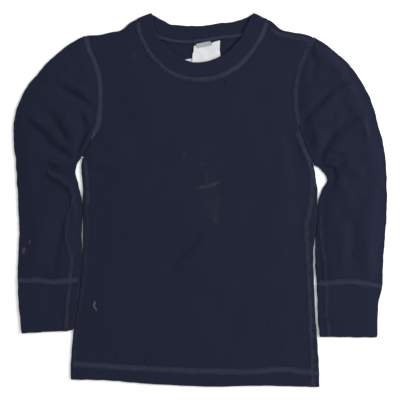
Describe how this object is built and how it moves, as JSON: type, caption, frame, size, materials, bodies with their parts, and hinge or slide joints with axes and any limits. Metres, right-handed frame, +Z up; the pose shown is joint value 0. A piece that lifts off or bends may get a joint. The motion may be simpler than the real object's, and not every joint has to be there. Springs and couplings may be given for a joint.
{
  "type": "thermal top",
  "caption": "Child's long-sleeved thermal top laid flat, with a ribbed crew neck, set-in sleeves, deep rib cuffs, a stitched hem and a blank neck label.",
  "frame": {"origin": "on the surface the garment lies on, under the middle of its box", "axes": "+Z up from the surface, +Y from the hem towards the neck, +X towards the wearer's left sleeve"},
  "size_m": [0.4676, 0.4684, 0.0062],
  "materials": {
    "navy_knit": "matte fine knit",
    "navy_rib": "matte fine rib",
    "white_label": "satin woven tape",
    "grey_tab": "satin woven tape"
  },
  "bodies": {
    "root": {"back_panel": "navy_knit", "front_panel": "navy_knit", "sleeve_right": "navy_knit", "sleeve_left": "navy_knit", "cuff_right": "navy_rib", "cuff_left": "navy_rib", "neckband": "navy_rib", "neck_label": "white_label", "size_tab": "grey_tab"}
  },
  "joints": []
}
